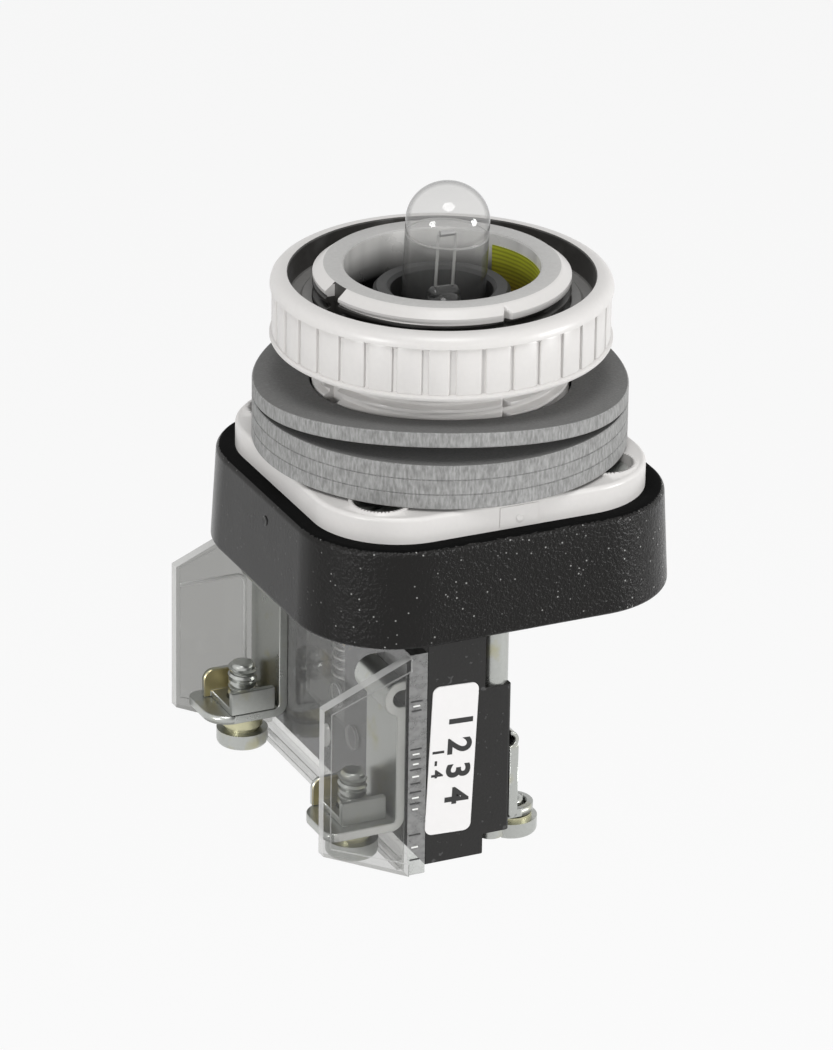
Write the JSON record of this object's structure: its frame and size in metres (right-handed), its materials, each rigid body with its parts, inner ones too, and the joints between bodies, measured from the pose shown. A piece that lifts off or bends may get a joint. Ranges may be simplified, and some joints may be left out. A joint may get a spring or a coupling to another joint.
{
  "type": "panel pilot light",
  "caption": "Pilot light for a 30.5 mm panel hole: threaded barrel with a fluted mounting ring and washers over a square base, a small bayonet bulb, and a side block with four screw terminals behind a clear cover.",
  "frame": {"origin": "barrel axis at the top face of the square plate, which meets the back of the panel stack", "axes": "+Z along the barrel out of the panel, -X towards the clear terminal cover, -Y towards the end with the rating label"},
  "size_m": [0.0477, 0.0464, 0.0762],
  "materials": {
    "bright_metal": "cast and plated, satin",
    "black_plastic": "moulded, fine grain",
    "grey_washer": "grey fibre and rubber, matt",
    "zinc_steel": "zinc plated",
    "yellow_label": "matt",
    "brass": "dull",
    "spring_steel": "drawn wire",
    "brown_insulation": "matt",
    "black_glass": "gloss",
    "solder": "soft solder",
    "clear_glass": "clear",
    "tungsten": "dark wire",
    "grey_plastic": "matt",
    "clear_plastic": "clear moulding",
    "yellow_zinc": "yellow zinc plated",
    "white_label": "semi-gloss film"
  },
  "bodies": {
    "frame": {"bushing": "bright_metal", "housing": "black_plastic", "washer_1": "grey_washer", "washer_2": "grey_washer", "washer_3": "grey_washer", "washer_top": "grey_washer", "flange_screws": "zinc_steel", "barrel_label": "yellow_label", "socket_insulator": "black_plastic", "socket_shell": "brass", "socket_spring": "spring_steel", "block_body": "black_plastic", "block_spacers": "zinc_steel", "block_screws": "zinc_steel", "contact_spring": "spring_steel", "contact_bar": "brass", "contact_carrier": "grey_plastic", "terminal_cover": "clear_plastic", "rating_label": "white_label", "terminal_saddle_1": "zinc_steel", "terminal_saddle_2": "zinc_steel", "terminal_strap_1": "zinc_steel", "terminal_strap_2": "zinc_steel", "terminal_strap_3": "zinc_steel", "terminal_strap_4": "zinc_steel"},
    "lamp_plunger": {"socket_plunger": "brown_insulation"},
    "lamp": {"bulb_base": "brass", "bulb_insulator": "black_glass", "bulb_contact": "solder", "bulb_glass": "clear_glass", "bulb_bead": "clear_glass", "bulb_leads": "spring_steel", "bulb_filament": "tungsten"},
    "ring": {"mounting_ring": "bright_metal"},
    "clamp_1": {"clamp_washer_1": "yellow_zinc"},
    "screw_1": {"terminal_screw_1": "zinc_steel"},
    "clamp_2": {"clamp_washer_2": "yellow_zinc"},
    "screw_2": {"terminal_screw_2": "zinc_steel"},
    "clamp_3": {"clamp_washer_3": "yellow_zinc"},
    "screw_3": {"terminal_screw_3": "zinc_steel"},
    "clamp_4": {"clamp_washer_4": "yellow_zinc"},
    "screw_4": {"terminal_screw_4": "zinc_steel"}
  },
  "joints": [
    {"name": "ring_turn", "type": "hinge", "parent": "frame", "child": "ring", "pos_m": [0, 0, 0.0165], "axis": [0, 0, 1], "continuous": true},
    {"name": "lamp_push", "type": "slide", "parent": "frame", "child": "lamp_plunger", "axis": [0, 0, 1], "range_m": [-0.0012, 0], "stiffness_N_per_m": 400, "deforming": ["socket_spring"]},
    {"name": "lamp_turn", "type": "hinge", "parent": "lamp_plunger", "child": "lamp", "pos_m": [0, 0, 0.009], "axis": [0, 0, 1], "range_deg": [0, 20]},
    {"name": "clamp_slide_1", "type": "slide", "parent": "frame", "child": "clamp_1", "axis": [0, 0, 1], "range_m": [-0.003, 0.00015]},
    {"name": "screw_turn_1", "type": "hinge", "parent": "clamp_1", "child": "screw_1", "pos_m": [-0.018, -0.016, -0.0395], "axis": [0, 0, 1], "range_deg": [-1361.2, 69]},
    {"name": "clamp_slide_2", "type": "slide", "parent": "frame", "child": "clamp_2", "axis": [0, 0, 1], "range_m": [-0.003, 0.00015]},
    {"name": "screw_turn_2", "type": "hinge", "parent": "clamp_2", "child": "screw_2", "pos_m": [-0.018, 0.016, -0.0395], "axis": [0, 0, 1], "range_deg": [-1361.2, 69]},
    {"name": "clamp_slide_3", "type": "slide", "parent": "frame", "child": "clamp_3", "axis": [0, 0, 1], "range_m": [-0.001, 0.00015]},
    {"name": "screw_turn_3", "type": "hinge", "parent": "clamp_3", "child": "screw_3", "pos_m": [0.0025, -0.016, -0.0395], "axis": [0, 0, 1], "range_deg": [-454.4, 69]},
    {"name": "clamp_slide_4", "type": "slide", "parent": "frame", "child": "clamp_4", "axis": [0, 0, 1], "range_m": [-0.001, 0.00015]},
    {"name": "screw_turn_4", "type": "hinge", "parent": "clamp_4", "child": "screw_4", "pos_m": [0.0025, 0.016, -0.0395], "axis": [0, 0, 1], "range_deg": [-454.4, 69]}
  ],
  "couplings": [
    {"joint": "screw_turn_1", "follows": "clamp_slide_1", "rad_per_m": 7913.3},
    {"joint": "screw_turn_2", "follows": "clamp_slide_2", "rad_per_m": 7913.3},
    {"joint": "screw_turn_3", "follows": "clamp_slide_3", "rad_per_m": 7913.3},
    {"joint": "screw_turn_4", "follows": "clamp_slide_4", "rad_per_m": 7913.3}
  ]
}
